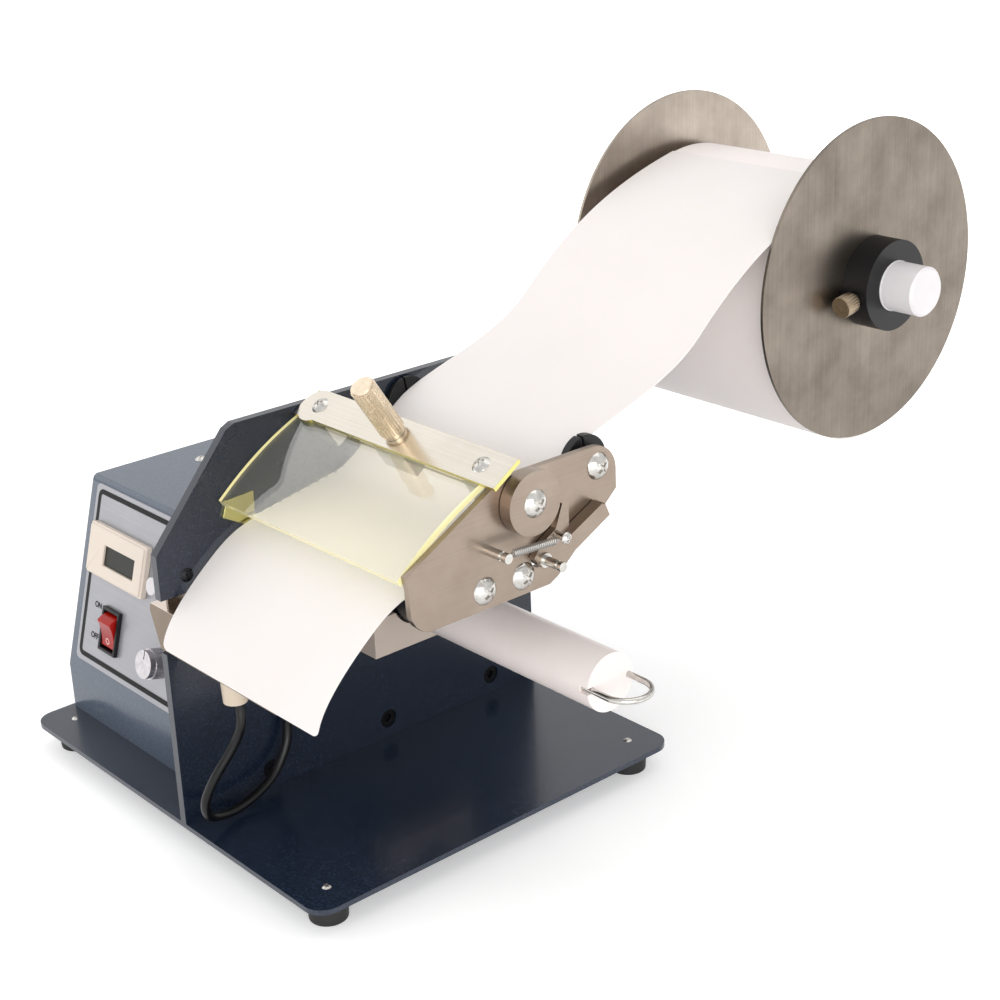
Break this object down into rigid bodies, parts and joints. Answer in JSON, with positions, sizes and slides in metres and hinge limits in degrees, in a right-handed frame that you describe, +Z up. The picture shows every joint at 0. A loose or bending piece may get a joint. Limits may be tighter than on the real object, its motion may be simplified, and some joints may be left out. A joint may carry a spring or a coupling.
{
  "type": "label dispenser",
  "caption": "Benchtop label dispenser: a reel feeds a label web under a clear cover and over driven rollers, with a waste take-up roller and a control box.",
  "frame": {"origin": "on the floor under the feet, below the middle of the whole machine's box, lead left out", "axes": "+X to the right along the front edge and along every roller, towards the open side; +Y to the back, towards the reel; +Z up"},
  "size_m": [0.2962, 0.3934, 0.2865],
  "materials": {
    "dark_paint": "glossy, fine texture",
    "box_paint": "glossy, fine texture",
    "black_metal": "satin",
    "stainless": "satin, brushed",
    "polished_steel": "polished",
    "chromed": "polished",
    "nickel": "knurled, warm nickel",
    "spring_steel": "drawn wire",
    "bronze": "sintered",
    "motor_steel": "satin",
    "core_iron": "laminated, lacquered",
    "black_rubber": "matte",
    "grey_rubber": "matte",
    "black_plastic": "matte",
    "black_gloss": "gloss",
    "white_nylon": "satin",
    "roller_white": "satin",
    "cream_plastic": "satin",
    "beige_plastic": "matte",
    "red_plastic": "gloss",
    "display": "glass-clear window over a dark display",
    "overlay": "satin, printed",
    "clear_yellow": "clear, edges brighter",
    "paper": "smooth coated paper",
    "card": "wound card",
    "board": "lacquered"
  },
  "bodies": {
    "frame": {"base_plate": "dark_paint", "rubber_feet": "black_rubber", "main_plate": "dark_paint", "plate_angle": "motor_steel", "plate_screws": "black_metal", "frame_screws": "chromed", "control_box": "box_paint", "panel_overlay": "overlay", "counter_case": "cream_plastic", "counter_display": "display", "switch_housing": "black_plastic", "speed_control": "black_plastic", "reset_switch": "black_plastic", "circuit_board": "board", "transformer": "core_iron", "power_inlet": "black_plastic", "gear_motor": "motor_steel", "motor_bracket": "motor_steel", "belts": "black_rubber", "side_plate": "stainless", "side_plate_screws": "chromed", "bed_plate": "polished_steel", "shaft_bearings": "bronze", "lever_spring": "spring_steel", "spring_post": "chromed", "guide_rod": "chromed", "guide_collar_left": "black_plastic", "cover": "clear_yellow", "cover_blocks": "overlay", "cross_plate": "polished_steel", "sensor_bracket": "stainless", "label_sensor": "beige_plastic", "sensor_cable": "black_rubber", "cable_grommet": "black_rubber", "reel_arm": "dark_paint", "reel_spindle": "motor_steel", "label_web": "paper", "take_up_block": "cream_plastic"},
    "motor": {"motor_shaft": "motor_steel"},
    "drive": {"drive_shaft": "motor_steel", "drive_roller": "black_rubber"},
    "lever": {"pressure_lever": "stainless", "lever_shaft": "chromed", "lever_screws": "chromed"},
    "pinch": {"pinch_roller": "grey_rubber"},
    "right_guide": {"guide_collar_right": "black_plastic"},
    "clamp": {"clamp_knob": "nickel"},
    "switch_rocker": {"rocker": "red_plastic"},
    "speed": {"speed_knob": "nickel"},
    "reset": {"reset_button": "white_nylon"},
    "reel": {"reel_shaft": "white_nylon", "flange_left": "stainless"},
    "outer_flange": {"flange_right": "stainless", "clamp_collar": "black_plastic"},
    "thumb": {"thumb_screw": "nickel"},
    "roll": {"paper_roll": "paper", "roll_core": "card"},
    "take_up": {"take_up_shaft": "black_gloss", "take_up_roller": "roller_white"},
    "clip": {"u_clip": "chromed"}
  },
  "joints": [
    {"name": "drive_spin", "type": "hinge", "parent": "frame", "child": "drive", "pos_m": [0.04585, -0.11157, 0.1369], "axis": [1, 0, 0], "continuous": true},
    {"name": "motor_spin", "type": "hinge", "parent": "frame", "child": "motor", "pos_m": [-0.03615, -0.10858, 0.0639], "axis": [1, 0, 0], "continuous": true},
    {"name": "take_up_spin", "type": "hinge", "parent": "frame", "child": "take_up", "pos_m": [0.06385, -0.06907, 0.0872], "axis": [1, 0, 0], "continuous": true},
    {"name": "lever_swing", "type": "hinge", "parent": "frame", "child": "lever", "pos_m": [0.11385, -0.09957, 0.1724], "axis": [1, 0, 0], "range_deg": [0, 11], "stiffness_Nm_per_rad": 0.35, "springref_deg": -6.88, "deforming": ["lever_spring"]},
    {"name": "pinch_spin", "type": "hinge", "parent": "lever", "child": "pinch", "pos_m": [0.04585, -0.09308, 0.1459], "axis": [1, 0, 0], "continuous": true},
    {"name": "right_guide_slide", "type": "slide", "parent": "frame", "child": "right_guide", "axis": [1, 0, 0], "range_m": [0, 0.0035]},
    {"name": "clamp_turn", "type": "hinge", "parent": "frame", "child": "clamp", "pos_m": [0.05185, -0.1143, 0.18894], "axis": [0, -0.5402, 0.8415], "range_deg": [0, 360]},
    {"name": "rocker_tip", "type": "hinge", "parent": "frame", "child": "switch_rocker", "pos_m": [-0.11065, -0.16387, 0.06324], "axis": [1, 0, 0], "range_deg": [-38, 0]},
    {"name": "speed_turn", "type": "hinge", "parent": "frame", "child": "speed", "pos_m": [-0.05815, -0.16412, 0.06543], "axis": [0, -0.9639, 0.2664], "range_deg": [0, 300]},
    {"name": "reset_press", "type": "slide", "parent": "frame", "child": "reset", "axis": [0, 0.9639, -0.2664], "range_m": [0, 0.0016], "stiffness_N_per_m": 200, "springref_m": -0.0015},
    {"name": "reel_spin", "type": "hinge", "parent": "frame", "child": "reel", "pos_m": [0.05685, 0.12302, 0.2128], "axis": [1, 0, 0], "continuous": true},
    {"name": "roll_spin", "type": "hinge", "parent": "frame", "child": "roll", "pos_m": [0.04685, 0.12302, 0.19965], "axis": [1, 0, 0], "continuous": true},
    {"name": "outer_flange_slide", "type": "slide", "parent": "reel", "child": "outer_flange", "axis": [1, 0, 0], "range_m": [0, 0.017]},
    {"name": "thumb_turn", "type": "hinge", "parent": "outer_flange", "child": "thumb", "pos_m": [0.11032, 0.12302, 0.2128], "axis": [0, -0.9848, -0.1736], "range_deg": [0, 360]},
    {"name": "clip_pull", "type": "slide", "parent": "take_up", "child": "clip", "axis": [1, 0, 0], "range_m": [0, 0.085]}
  ],
  "couplings": [
    {"joint": "motor_spin", "follows": "drive_spin", "ratio": 1.2222},
    {"joint": "take_up_spin", "follows": "drive_spin", "ratio": 0.78571},
    {"joint": "pinch_spin", "follows": "drive_spin", "ratio": -1.2111},
    {"joint": "roll_spin", "follows": "reel_spin", "ratio": 0.462}
  ]
}
